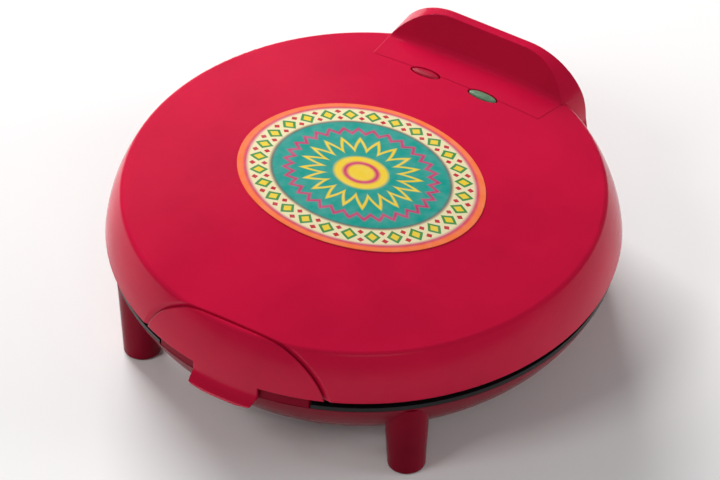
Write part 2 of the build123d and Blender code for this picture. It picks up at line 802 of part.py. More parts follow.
def legs(inset=0.0, bottom=0.0):
    """Four tapered legs, drawn in by inset."""
    made = Part()
    top = base_top - leg_top_drop
    leg = Cone(leg_foot_radius - inset, leg_top_radius - inset, top - bottom,
               align=(Align.CENTER, Align.CENTER, Align.MIN))
    for sx in mirror_pair:
        for sy in mirror_pair:
            made += Pos(sx * leg_x, sy * leg_y, bottom) * leg
    return made


def rear_block(inset=0.0):
    """Flat-backed housing of the hinge and the wiring's end."""
    high = block_top - inset
    low = block_floor_height + inset
    half = block_half_width - inset
    return rear_plan(half, block_front, back_plane - inset, block_corner - inset, low, high)


def base_housing():
    keep = block(-far, far, -far, back_plane, 0, far)
    leg_bottom = pad_proud
    outer = (bowl_form() + legs(0, leg_bottom) + rear_block()) & keep
    cavity = bowl_form(base_wall) & block(-far, far, -far, back_plane - base_wall, 0, far)
    cavity += rear_block(base_wall)
    leg_hollow = legs(leg_wall, pad_thickness + leg_wall)
    leg_hollow &= block(-far, far, -far, far, 0, base_top - locator_drop)
    shell = outer - cavity
    shell -= leg_hollow
    shell -= foot_seats()
    shell += front_lip() + hinge_ears() + plate_pillars()
    shell -= plate_room()
    shell = shell - bottom_openings() - rear_opening() - pillar_bores()
    return shell + cover_bosses() - cover_bores()


def foot_seats():
    made = Part()
    for sx in mirror_pair:
        for sy in mirror_pair:
            made += post(pad_radius + pad_clearance, 0, pad_thickness, sx * leg_x, sy * leg_y)
    return made


def front_lip():
    """Raised edge behind the latch, closing the gap between the halves there."""
    outer = base_radius - lip_step
    ring = post(outer, base_top, rim_height - lip_gap) - post(outer - lip_wall, 0, far)
    return ring & block(-lip_half_width, lip_half_width, -far, 0, 0, far)


def hinge_ears():
    made = Part()
    for side in mirror_pair:
        x0, x1 = span(side, ear_inner, ear_outer)
        ear = bar(knuckle_radius, x0, x1, hinge_reach, hinge_height)
        ear += block(x0, x1, hinge_reach - knuckle_radius, hinge_reach + knuckle_radius,
                     block_top - base_wall, hinge_height)
        made += ear - bar(hinge_pin_radius + pin_seat_clearance, x0 - 1, x1 + 1, hinge_reach, hinge_height)
    return made


def plate_pillars():
    """Pillars that carry the lower shield and plate."""
    made = Part()
    for angle in boss_angles:
        x, y = polar(plate_boss_ring, angle)
        made += post(pillar_radius, base_floor - base_wall / 2, lower_shield_low, x, y)
    return made


def pillar_bores():
    made = Part()
    for angle in boss_angles:
        x, y = polar(plate_boss_ring, angle)
        made += post(screw_radius + screw_clearance, 0, lower_shield_low + 1, x, y)
        made += post(screw_head_radius + screw_clearance, 0, ground_clearance + pillar_recess, x, y)
    return made


def plate_room():
    """Clears the block's front so that the plate and its flange drop in."""
    gap = cover_gap
    room = post(well_radius + plate_wall + gap, lower_floor - gap, far)
    room += post(base_radius + gap, land_height - flange_thickness, far) & block(
        -far, far, -far, hinge_reach - knuckle_radius - gap / 2, 0, far)
    room += post(locator_outer + gap, land_height - flange_thickness - locator_drop - gap, far) & block(
        -far, far, -far, hinge_reach - knuckle_radius, 0, far)
    lip = block(-lip_half_width, lip_half_width, -far, 0, 0, far)
    return room - (lip - post(base_radius - lip_step - lip_wall, 0, far))


def bottom_openings():
    """Seat and opening of the service cover, and the ring of vents round it."""
    made = post(cover_radius, 0, cover_seat) + post(cover_radius - cover_shelf, 0, base_floor + 1)
    for i in range(vents):
        slot = extrude(SlotOverall(vent_length, vent_width), base_floor + 1)
        made += Rot(0, 0, 360 / vents * (i + 0.5)) * (Pos(vent_ring, 0, 0) * slot)
    return made


def cover_bosses():
    """Bosses on the shelf that the service cover is screwed to."""
    made = Part()
    for angle in boss_angles:
        x, y = polar(cover_screw_ring, angle)
        made += post(cover_boss_radius, cover_seat, base_floor + cover_boss_height, x, y)
    return made


def cover_bores():
    made = Part()
    for angle in boss_angles:
        x, y = polar(cover_screw_ring, angle)
        made += post(screw_radius + screw_clearance, 0, base_floor + cover_boss_height - screw_end_gap, x, y)
    return made


def bottom_cover():
    made = post(cover_radius - cover_gap, ground_clearance, cover_seat)
    for angle in boss_angles:
        made -= post(screw_radius + screw_clearance, 0, base_floor, *polar(cover_screw_ring, angle))
    rows = cover_slots // 2
    for i in range(-rows, rows + 1):
        slot = SlotOverall(cover_slot_length, vent_width)
        made -= extrude(Pos(0, i * cover_slot_pitch) * slot, base_floor)
    return made


def bottom_cover_screws():
    made = Part()
    for angle in boss_angles:
        x, y = polar(cover_screw_ring, angle)
        made += screw(x, y, ground_clearance, base_wall + cover_boss_height - 2 * screw_end_gap)
    return made


def rear_outline(grow=0.0):
    outline = Rectangle(2 * (rear_cover_half_width + grow), rear_cover_height + 2 * grow)
    outline = fillet(outline.vertices(), rear_cover_corner + grow)
    return Pos(0, rear_cover_bottom + rear_cover_height / 2) * outline


def rear_opening():
    """Opening in the rear wall with a seat for its cover."""
    seat = extrude(Plane.XZ * rear_outline(), -(back_plane + 1)) & block(
        -far, far, back_plane - base_wall / 2, far, 0, far)
    through = Rectangle(2 * (rear_cover_half_width - cover_shelf), rear_cover_height - cover_shelf)
    through = Pos(0, rear_cover_bottom + rear_cover_height / 2) * through
    hole = extrude(Plane.XZ * through, -(back_plane + 1)) & block(
        -far, far, back_plane - 2 * base_wall, far, 0, far)
    return seat + hole


rear_mid = rear_cover_bottom + rear_cover_height / 2


def along_y(radius, y0, y1, x, z):
    """Cylinder along Y."""
    return Pos(x, (y0 + y1) / 2, z) * Rot(90, 0, 0) * Cylinder(radius, y1 - y0)


def rear_cover():
    made = extrude(Plane.XZ * rear_outline(-cover_gap), -back_plane) & block(
        -far, far, back_plane - base_wall / 2, far, 0, far)
    made -= along_y(inlet_body + cover_gap, 0, far, 0, rear_mid)
    for side in mirror_pair:
        x = side * (rear_cover_screw_x + cover_gap)
        made -= along_y(screw_radius + screw_clearance, 0, far, x, rear_mid)
    return made


def rear_cover_screws():
    made = Part()
    for side in mirror_pair:
        x = side * (rear_cover_screw_x + cover_gap)
        head = along_y(screw_head_radius, back_plane, back_plane + screw_head_height / 2, x, rear_mid)
        made += head + along_y(screw_radius, back_plane - base_wall / 2, back_plane, x, rear_mid)
    return made


def cord_inlet_bush():
    """Bush in the rear cover: a flange inside the wall, a collar outside and a groove between."""
    outer_face = back_plane + inlet_flange_thickness / 2
    made = along_y(inlet_body, back_plane - inlet_depth + inlet_flange_thickness, outer_face, 0, rear_mid)
    made += along_y(inlet_flange, back_plane + inlet_gap, outer_face, 0, rear_mid)
    made += along_y(inlet_flange, back_plane - 2 * base_wall - inlet_flange_thickness,
                    back_plane - base_wall / 2 - inlet_gap, 0, rear_mid)
    return made - along_y(inlet_bore, 0, far, 0, rear_mid)


def terminal_block():
    floor = block_floor_height + base_wall
    made = block(terminal_x - terminal_width / 2, terminal_x + terminal_width / 2,
                 terminal_y - terminal_depth / 2, terminal_y + terminal_depth / 2,
                 floor, floor + terminal_height)
    pitch = terminal_width / terminal_ways
    for i in range(terminal_ways):
        x = terminal_x + (i - (terminal_ways - 1) / 2) * pitch
        made -= along_y(pitch / 5, 0, far, x, floor + terminal_height / 3)
        made -= post(pitch / 4, floor + terminal_height / 2, far, x, terminal_y)
    return made


def foot_pads():
    made = Part()
    for sx in mirror_pair:
        for sy in mirror_pair:
            pad = post(pad_radius, 0, pad_thickness - pad_clearance, sx * leg_x, sy * leg_y)
            made += chamfer(pad.edges().group_by(Axis.Z)[0], pad_proud / 2)
    return made


def hinge_pins():
    made = Part()
    for side in mirror_pair:
        x0, x1 = span(side, ear_inner - hinge_side_gap - hinge_lug_width,
                      ear_outer + hinge_side_gap + hinge_lug_width)
        made += bar(hinge_pin_radius, x0, x1, hinge_reach, hinge_height)
    return made


nodes = {
    "lid_housing": lid_housing(),
    "label_plate": label_plate(),
    "power_lens": lens(-1),
    "ready_lens": lens(1),
    "lamp_holder": lamp_holder(),
    "neon_lamps": neon_lamps(),
    "lamp_holder_screws": lamp_holder_screws(),
    "upper_plate": upper_plate(),
    "upper_plate_screws": upper_plate_screws(),
    "upper_element": element(upper_floor, 1),
    "upper_heat_shield": heat_shield(upper_shield_near, 1),
    "upper_shield_screws": upper_shield_screws(),
    "lid_thermostat": thermostat(upper_floor, 1),
    "latch_pin": latch_pin(),
    "latch": latch(),
    "base_housing": base_housing(),
    "lower_plate": lower_plate(),
    "lower_plate_screws": lower_plate_screws(),
    "lower_element": element(lower_floor, -1),
    "lower_heat_shield": heat_shield(lower_shield_near, -1),
    "thermostat": thermostat(lower_floor, -1),
    "thermal_fuse": thermal_fuse(),
    "bottom_cover": bottom_cover(),
    "bottom_cover_screws": bottom_cover_screws(),
    "rear_cover": rear_cover(),
    "rear_cover_screws": rear_cover_screws(),
    "cord_inlet_bush": cord_inlet_bush(),
    "terminal_block": terminal_block(),
    "foot_pads": foot_pads(),
    "hinge_pins": hinge_pins(),
}

os.makedirs("parts", exist_ok=True)
for name, shape in nodes.items():
    export_step(Pos(0, plan_shift, 0) * shape, "parts/" + name + ".step")
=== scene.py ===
import math

import bmesh
import bpy
from bpy.props import FloatProperty, FloatVectorProperty, IntProperty, PointerProperty
from mathutils import Matrix, Vector


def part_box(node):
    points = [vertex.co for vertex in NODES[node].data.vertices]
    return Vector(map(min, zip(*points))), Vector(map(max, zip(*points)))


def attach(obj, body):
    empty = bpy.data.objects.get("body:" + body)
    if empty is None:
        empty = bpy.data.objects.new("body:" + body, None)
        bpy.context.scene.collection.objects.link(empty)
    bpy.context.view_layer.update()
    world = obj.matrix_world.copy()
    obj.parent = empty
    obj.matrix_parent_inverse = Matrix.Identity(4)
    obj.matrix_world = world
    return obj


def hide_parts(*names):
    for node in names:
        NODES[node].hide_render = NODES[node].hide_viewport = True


bl_info = {
    "name": "Round Tortilla Cooker",
    "version": (1, 0, 0),
    "blender": (4, 5, 0),
    "location": "View3D > Sidebar > Cooker",
    "description": "Finishes, printed label, lamps, screws and studio of a round countertop tortilla cooker",
    "category": "Object",
}

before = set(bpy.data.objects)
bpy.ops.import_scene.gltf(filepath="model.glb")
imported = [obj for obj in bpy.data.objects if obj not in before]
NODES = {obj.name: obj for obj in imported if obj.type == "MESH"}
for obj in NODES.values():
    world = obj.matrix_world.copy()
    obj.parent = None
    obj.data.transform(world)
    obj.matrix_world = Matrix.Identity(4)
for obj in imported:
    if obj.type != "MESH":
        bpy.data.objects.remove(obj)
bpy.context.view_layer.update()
MM = 0.001

# places read from the frame, and the lid's main sizes in the solids
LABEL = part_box("label_plate")
LABEL_CENTRE = (LABEL[0] + LABEL[1]) / 2
LABEL_HALF = (LABEL[1] - LABEL[0]) / 2
PLATES_AXIS = (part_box("bottom_cover")[0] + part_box("bottom_cover")[1]) / 2
DOME_RADIUS = 718.04 * MM
DOME_TOP = 106.5 * MM
RIM_HEIGHT = 63.0 * MM

# label: its film, its inks, and its design in shares of the oval's half sizes
FILM_THICKNESS = 0.5 * MM
FILM_BOND = 0.03 * MM           # glue under the film
FILM_RINGS = 16                 # rings of faces from the middle to the edge
FILM_POLE = 0.04                # share of the oval that closes its middle
FILM_UNDER_RING = 0.5           # share of the one ring between its middle and its rim, underneath
FILM_SEGMENTS = 160
PRINT_EDGE = 0.015              # softness of a printed edge
INKS = {"teal": "#009A8C", "wine": "#7C1B2C", "cream": "#EFE3B4", "magenta": "#CF1F6B", "orange": "#FF7A3C",
        "green": "#3E8F45", "yellow": "#F4CF2E", "red": "#C8202E"}
EDGE_INK = "orange"
BORDER_INKS = ((0.945, "magenta"), (0.92, "cream"))
# offset in motifs, middle of the row, half height, share of the motif's width, ink
DIAMOND_ROWS = ((0.0, 0.8275, 0.078, 0.74, "green"), (0.0, 0.8275, 0.046, 0.42, "yellow"),
                (0.5, 0.876, 0.028, 0.3, "red"), (0.5, 0.779, 0.028, 0.3, "red"))
FIELD_INKS = ((0.735, "wine"), (0.72, "teal"))
ZIGZAG_TURNS = 32
ZIGZAG_DEPTH = 0.07
ZIGZAG_INKS = ((0.64, "magenta"), (0.60, "teal"))
RAY_TURNS = 20
RAY_DEPTH = 0.16
RAY_INKS = ((0.50, "yellow"), (0.44, "teal"))
MIDDLE_INKS = ((0.22, "yellow"), (0.15, "magenta"), (0.11, "yellow"))

# lamp lenses: shares of the window's half sizes, with heights from the dome or, on the crown, shares of it
LENS_FLANGE = 1.8 * MM          # width of the flange that holds a lens under the lid
LENS_PLAY = 0.1 * MM
LENS_BACK = -4.3 * MM
LENS_SHOULDER = -2.7 * MM
LENS_POLE = 0.05                # share of the window that closes its middle
LENS_SEGMENTS = 72
LENS_SHARP_ANGLE = 50
LENS_WALL = ((1.02, LENS_SHOULDER), (1.0, -1.2 * MM), (0.985, -0.35 * MM))
LENS_CROWN = ((0.93, 0.2), (0.82, 0.55), (0.62, 0.82), (0.35, 0.96), (LENS_POLE, 1.0))

# pan screws: shares of the shank's radius, of the head's radius and of its height below its top
HEAD_HEIGHTS = {"-Z": 2.0 * MM, "+Y": 1.0 * MM}
SHANK_SHARE = 0.5
SCREW_TIP = ((0.55, 0.0), (1.0, 0.6))
PAN_HEAD = ((0.97, 1.0), (1.0, 0.85), (1.0, 0.45), (0.88, 0.12), (0.7, 0.0))
RECESS_REACH = 0.55             # share of the head's radius that the cross reaches
RECESS_DEPTH_LIMIT = 0.7        # share of the head's height
RECESS_TAPER = 0.6
SCREW_SEGMENTS = 24

# camera of the photograph, solved from the rim, feet, lamps and crest
CAMERA_AZIMUTH = math.radians(32)
CAMERA_ELEVATION = math.radians(41.8)
CAMERA_DISTANCE = 4.0
CAMERA_LENS = 344.6
CAMERA_SHIFT = (-0.00528, -0.01833)
CAMERA_REACH = 50.0             # nothing further than this is drawn
SENSOR_WIDTH = 36.0
FLOOR_TILES = 8

# name, place in metres, side in metres, setting that holds its power, whether it shows in the gloss
SOFTBOXES = (("back_left_softbox", (-2.0, 1.5, 1.3), 1.8, "back_power", False),
             ("right_softbox", (2.4, 1.0, 0.9), 1.0, "right_power", False),
             ("front_left_softbox", (-0.8, -1.8, 2.0), 1.0, "front_left_power", False),
             ("front_right_softbox", (1.2, -1.6, 1.6), 1.0, "front_right_power", True))

WELD = 0.001 * MM               # points of a CAD mesh closer than this are one
NOISE_RANGE = {"From Min": 0.3, "From Max": 0.7}        # noise seldom leaves this range
GLOSS_SPREAD = 0.04             # how far the shells' roughness strays from its setting
BEVEL_SAMPLES = 4
CLOUD_GRAINS = 40               # grains of a textured moulding across one of its cloudy patches


# ------------------------------------------------------------------ helpers
def linear(code):
    """sRGB hex colour as linear red, green, blue and alpha."""
    channels = [int(code[i:i + 2], 16) / 255 for i in (1, 3, 5)]
    return tuple(c / 12.92 if c <= 0.04045 else ((c + 0.055) / 1.055) ** 2.4 for c in channels) + (1.0,)


def per_mm(size):
    """Texture scale whose features are about size millimetres across."""
    return 1 / (size * MM)


def wave_scale(pitch):
    """Scale of a wave texture whose bands repeat every pitch millimetres."""
    return 1 / (pitch * MM) / math.tau * 2


def set_inputs(tree, node, inputs):
    """Sets a node's inputs, or links them: a node given as a value lends its first output in use."""
    for key, value in inputs.items():
        if isinstance(value, bpy.types.Node):
            value = next(socket for socket in value.outputs if socket.enabled)
        if isinstance(value, bpy.types.NodeSocket):
            tree.links.new(value, node.inputs[key])
        else:
            node.inputs[key].default_value = value


def add_node(tree, kind, inputs, **settings):
    """Adds a shader node with its settings, and sets or links its inputs."""
    node = tree.nodes.new("ShaderNode" + kind)
    for name, value in settings.items():
        setattr(node, name, value)
    set_inputs(tree, node, inputs)
    return node


def new_material(name, uniform):
    """Node material with its object coordinates and its Principled shader, uniform values set on it."""
    made = bpy.data.materials.new(name)
    made.use_nodes = True
    tree = made.node_tree
    tree.nodes.clear()
    place = add_node(tree, "TexCoord", {}).outputs["Object"]
    shader = add_node(tree, "BsdfPrincipled", uniform)
    add_node(tree, "OutputMaterial", {"Surface": shader})
    return made, tree, place, shader


def give(material, *names):
    """Puts one material in every slot of some CAD nodes."""
    for name in names:
        for slot in NODES[name].material_slots:
            slot.material = material


def dome_height(x, y):
    """Height of the lid's dome over a point, in metres."""
    across = (x - PLATES_AXIS.x) ** 2 + (y - PLATES_AXIS.y) ** 2
    return DOME_TOP - DOME_RADIUS + math.sqrt(DOME_RADIUS ** 2 - across)


def bridge_stack(bm, loops):
    """Skins a stack of edge loops and closes its two ends."""
    for low, high in zip(loops, loops[1:]):
        bmesh.ops.bridge_loops(bm, edges=low + high)
    for end in (loops[0], loops[-1]):
        bmesh.ops.edgeloop_fill(bm, edges=end)


def ring(bm, radius, height, segments):
    """Points of a circle round the Z axis, and its edges, each once and always in the same order."""
    points = bmesh.ops.create_circle(bm, segments=segments, radius=radius)["verts"]
    bmesh.ops.translate(bm, verts=points, vec=(0, 0, height))
    return points, list(dict.fromkeys(edge for point in points for edge in point.link_edges))


def oval_on_dome(bm, centre, half, profile, segments):
    """Closed shell along the dome. Its profile lists shares of the half sizes and heights from the dome."""
    loops = []
    for share, height in profile:
        points, edges = ring(bm, share, 0, segments)
        for point in points:
            x = centre.x + point.co.x * half[0]
            y = centre.y + point.co.y * half[1]
            point.co = (x, y, dome_height(x, y) + height)
        loops.append(edges)
    bridge_stack(bm, loops)


def finished_piece(bm, name, material, body, replaced, sharp_angle=35):
    """Turns a bmesh into a smooth piece that rides on a body and stands for CAD nodes."""
    bmesh.ops.recalc_face_normals(bm, faces=bm.faces)
    mesh = bpy.data.meshes.new(name)
    bm.to_mesh(mesh)
    bm.free()
    mesh.shade_smooth()
    mesh.set_sharp_from_angle(angle=math.radians(sharp_angle))
    mesh.materials.append(material)
    piece = bpy.data.objects.new(name, mesh)
    bpy.context.scene.collection.objects.link(piece)
    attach(piece, body)
    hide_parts(replaced)
    return piece


def separate_solids(name):
    """Lowest and highest corner of each separate solid in a CAD node."""
    bm = bmesh.new()
    bm.from_mesh(NODES[name].data)
    bmesh.ops.remove_doubles(bm, verts=bm.verts, dist=WELD)
    waiting = set(bm.verts)
    boxes = []
    while waiting:
        reached = [waiting.pop()]
        for point in reached:
            for edge in point.link_edges:
                other = edge.other_vert(point)
                if other in waiting:
                    waiting.remove(other)
                    reached.append(other)
        corners = [[point.co[axis] for point in reached] for axis in range(3)]
        boxes.append((Vector(map(min, corners)), Vector(map(max, corners))))
    bm.free()
    return sorted(boxes, key=lambda box: tuple(box[0]))


# ------------------------------------------------------------------ materials
def moulded_abs(settings, name, shade, deep_shade, sheen):
    """ABS, pigmented red and moulded in a polished tool: satin gloss with a faint orange peel."""
    made, tree, place, shader = new_material(name, {"IOR": 1.54, "Specular IOR Level": sheen})
    rounded = add_node(tree, "Bevel", {"Radius": settings.edge_round}, samples=BEVEL_SAMPLES)
    flow = add_node(tree, "TexNoise", {"Vector": place, "Scale": per_mm(45), "Detail": 3})
    peel = add_node(tree, "TexNoise", {"Vector": place, "Scale": per_mm(1.6)})
    cloud = add_node(tree, "TexNoise", {"Vector": place, "Scale": per_mm(25), "Detail": 1})
    depth = add_node(tree, "MapRange", {"Value": flow, "From Min": 0.35, "From Max": 0.65})
    colour = add_node(tree, "Mix", {"Factor": depth, "A": tuple(shade), "B": tuple(deep_shade)},
                      data_type="RGBA")
    gloss = add_node(tree, "MapRange", {"Value": cloud, "From Min": 0.1, "From Max": 0.9,
                                        "To Min": settings.roughness - GLOSS_SPREAD,
                                        "To Max": settings.roughness + GLOSS_SPREAD})
    relief = add_node(tree, "Bump", {"Height": peel, "Distance": 0.002 * MM, "Normal": rounded})
    set_inputs(tree, shader, {"Base Color": colour, "Roughness": gloss, "Normal": relief})
    return made


def non_stick_casting(settings):
    """Die-cast aluminium under a sprayed non-stick coat: near black, fine grained, softly shiny."""
    made, tree, place, shader = new_material("Non-stick coat on die-cast aluminium", {"IOR": 1.38})
    grain = add_node(tree, "TexNoise", {"Vector": place, "Scale": per_mm(0.7), "Detail": 3, "Roughness": 0.6})
    speck = add_node(tree, "TexVoronoi", {"Vector": place, "Scale": per_mm(1.6)})
    cloud = add_node(tree, "TexNoise", {"Vector": place, "Scale": per_mm(20), "Detail": 3})
    share = add_node(tree, "MapRange", {"Value": speck, "From Max": 0.18, "To Min": 1.0, "To Max": 0.0})
    colour = add_node(tree, "Mix", {"Factor": share, "A": tuple(settings.coat_colour),
                                    "B": linear("#2C2C30")}, data_type="RGBA")
    gloss = add_node(tree, "MapRange", {"Value": cloud, **NOISE_RANGE, "To Min": 0.36, "To Max": 0.46})
    relief = add_node(tree, "Bump", {"Height": grain, "Distance": 0.02 * MM})
    set_inputs(tree, shader, {"Base Color": colour, "Roughness": gloss, "Normal": relief})
    return made


def heated_sheath():
    """Nickel alloy heater tube, drawn and then tinted by its own heat in straw and blue patches."""
    made, tree, place, shader = new_material("Heat-tinted alloy tube", {"Metallic": 1.0})
    tint = add_node(tree, "TexNoise", {"Vector": place, "Scale": per_mm(18), "Detail": 3})
    scale = add_node(tree, "TexNoise", {"Vector": place, "Scale": per_mm(0.5), "Detail": 3})
    share = add_node(tree, "MapRange", {"Value": tint, "From Min": 0.35, "From Max": 0.65})
    colour = add_node(tree, "Mix", {"Factor": share, "A": linear("#7A6650"), "B": linear("#4E5160")},
                      data_type="RGBA")
    gloss = add_node(tree, "MapRange", {"Value": scale, **NOISE_RANGE, "To Min": 0.32, "To Max": 0.5})
    relief = add_node(tree, "Bump", {"Height": scale, "Distance": 0.01 * MM})
    set_inputs(tree, shader, {"Base Color": colour, "Roughness": gloss, "Normal": relief})
    return made


def rolled_sheet():
    """Aluminised steel sheet, rolled: bright grey with long streaks one way and a fine spangle."""
    made, tree, place, shader = new_material("Rolled aluminised steel", {"Metallic": 1.0})
    rolled = add_node(tree, "Mapping", {"Vector": place, "Scale": (0.04, 1, 1)})
    streak = add_node(tree, "TexNoise", {"Vector": rolled, "Scale": per_mm(0.8), "Detail": 3})
    spangle = add_node(tree, "TexVoronoi", {"Vector": place, "Scale": per_mm(3)})
    share = add_node(tree, "MapRange", {"Value": spangle, "From Max": 0.6})
    colour = add_node(tree, "Mix", {"Factor": share, "A": linear("#B4B6B8"), "B": linear("#9C9EA2")},
                      data_type="RGBA")
    gloss = add_node(tree, "MapRange", {"Value": streak, **NOISE_RANGE, "To Min": 0.28, "To Max": 0.44})
    relief = add_node(tree, "Bump", {"Height": streak, "Distance": 0.004 * MM})
    set_inputs(tree, shader, {"Base Color": colour, "Roughness": gloss, "Normal": relief})
    return made


def zinc_plate():
    """Carbon steel, electroplated with zinc: pale blue-grey, slightly patchy."""
    made, tree, place, shader = new_material("Zinc-plated steel", {"Metallic": 1.0})
    patch = add_node(tree, "TexNoise", {"Vector": place, "Scale": per_mm(1.5), "Detail": 3})
    grain = add_node(tree, "TexNoise", {"Vector": place, "Scale": per_mm(0.3)})
    share = add_node(tree, "MapRange", {"Value": patch, **NOISE_RANGE})
    colour = add_node(tree, "Mix", {"Factor": share, "A": linear("#C3C6CA"), "B": linear("#A7ABB3")},
                      data_type="RGBA")
    gloss = add_node(tree, "MapRange", {"Value": patch, **NOISE_RANGE, "To Min": 0.24, "To Max": 0.38})
    relief = add_node(tree, "Bump", {"Height": grain, "Distance": 0.004 * MM})
    set_inputs(tree, shader, {"Base Color": colour, "Roughness": gloss, "Normal": relief})
    return made


def ground_steel():
    """Centreless-ground steel pin: rings of fine grinding marks round its length."""
    made, tree, place, shader = new_material("Ground steel", {"Metallic": 1.0})
    turned = add_node(tree, "Mapping", {"Vector": place, "Scale": (1, 0.02, 0.02)})
    marks = add_node(tree, "TexNoise", {"Vector": turned, "Scale": per_mm(0.15)})
    colour = add_node(tree, "Mix", {"Factor": marks, "A": linear("#B4B6BA"), "B": linear("#98999E")},
                      data_type="RGBA")
    gloss = add_node(tree, "MapRange", {"Value": marks, **NOISE_RANGE, "To Min": 0.2, "To Max": 0.34})
    relief = add_node(tree, "Bump", {"Height": marks, "Distance": 0.003 * MM})
    set_inputs(tree, shader, {"Base Color": colour, "Roughness": gloss, "Normal": relief})
    return made


def textured_moulding(name, code, lighter, roughness, grain_mm, depth_mm, ior):
    """Plastic or rubber moulded in a spark-eroded tool: an even fine grain that scatters the light."""
    made, tree, place, shader = new_material(name, {"IOR": ior})
    grain = add_node(tree, "TexNoise", {"Vector": place, "Scale": per_mm(grain_mm), "Detail": 3,
                                        "Roughness": 0.6})
    cloud = add_node(tree, "TexNoise", {"Vector": place, "Scale": per_mm(grain_mm * CLOUD_GRAINS),
                                        "Detail": 3})
    share = add_node(tree, "MapRange", {"Value": cloud, **NOISE_RANGE})
    colour = add_node(tree, "Mix", {"Factor": share, "A": linear(code), "B": linear(lighter)},
                      data_type="RGBA")
    gloss = add_node(tree, "MapRange", {"Value": grain, **NOISE_RANGE, "To Min": roughness - 0.05,
                                        "To Max": roughness + 0.06})
    relief = add_node(tree, "Bump", {"Height": grain, "Distance": depth_mm * MM})
    set_inputs(tree, shader, {"Base Color": colour, "Roughness": gloss, "Normal": relief})
    return made


def woven_sleeve():
    """Glass fibre braided into a sleeve: cream yarns that cross every 0.8 mm."""
    made, tree, place, shader = new_material("Braided glass sleeve", {"IOR": 1.5, "Sheen Weight": 0.2})
    yarns = [add_node(tree, "TexWave", {"Vector": place, "Scale": wave_scale(0.8), "Distortion": 0.6},
                      bands_direction=direction).outputs["Fac"] for direction in ("DIAGONAL", "Y")]
    weave = add_node(tree, "Math", {0: yarns[0], 1: yarns[1]}, operation="MULTIPLY")
    colour = add_node(tree, "Mix", {"Factor": weave, "A": linear("#B9AF98"), "B": linear("#E4DCC8")},
                      data_type="RGBA")
    gloss = add_node(tree, "MapRange", {"Value": weave, "To Min": 0.85, "To Max": 0.7})
    relief = add_node(tree, "Bump", {"Height": weave, "Distance": 0.12 * MM})
    set_inputs(tree, shader, {"Base Color": colour, "Roughness": gloss, "Normal": relief})
    return made


def lamp_glass():
    """Soda-lime tube of a neon lamp: clear, fire-polished, faintly amber."""
    made, tree, place, shader = new_material("Drawn lamp glass", {"IOR": 1.52, "Transmission Weight": 0.9})
    seeds = add_node(tree, "TexNoise", {"Vector": place, "Scale": per_mm(2)})
    colour = add_node(tree, "Mix", {"Factor": seeds, "A": linear("#F0CFA8"), "B": linear("#F7E2C8")},
                      data_type="RGBA")
    gloss = add_node(tree, "MapRange", {"Value": seeds, **NOISE_RANGE, "To Min": 0.03, "To Max": 0.08})
    set_inputs(tree, shader, {"Base Color": colour, "Roughness": gloss})
    return made


def dyed_lens(name, code, deep):
    """Polycarbonate lens, dyed through and polished outside, with fine prisms moulded inside it."""
    made, tree, place, shader = new_material(name, {"IOR": 1.58, "Transmission Weight": 0.25,
                                                    "Coat Weight": 0.3, "Coat Roughness": 0.04})
    prisms = add_node(tree, "TexWave", {"Vector": place, "Scale": wave_scale(1.1), "Distortion": 0.1},
                      bands_direction="X").outputs["Fac"]
    cloud = add_node(tree, "TexNoise", {"Vector": place, "Scale": per_mm(4)})
    facets = add_node(tree, "MapRange", {"Value": prisms, "To Min": 0.7})
    depth = add_node(tree, "MapRange", {"Value": cloud, **NOISE_RANGE, "To Min": 0.6})
    shade = add_node(tree, "Math", {0: facets, 1: depth}, operation="MULTIPLY")
    colour = add_node(tree, "Mix", {"Factor": shade, "A": linear(deep), "B": linear(code)}, data_type="RGBA")
    gloss = add_node(tree, "MapRange", {"Value": cloud, **NOISE_RANGE, "To Min": 0.12, "To Max": 0.2})
    relief = add_node(tree, "Bump", {"Height": prisms, "Distance": 0.02 * MM})
    set_inputs(tree, shader, {"Base Color": colour, "Roughness": gloss, "Normal": relief})
    return made


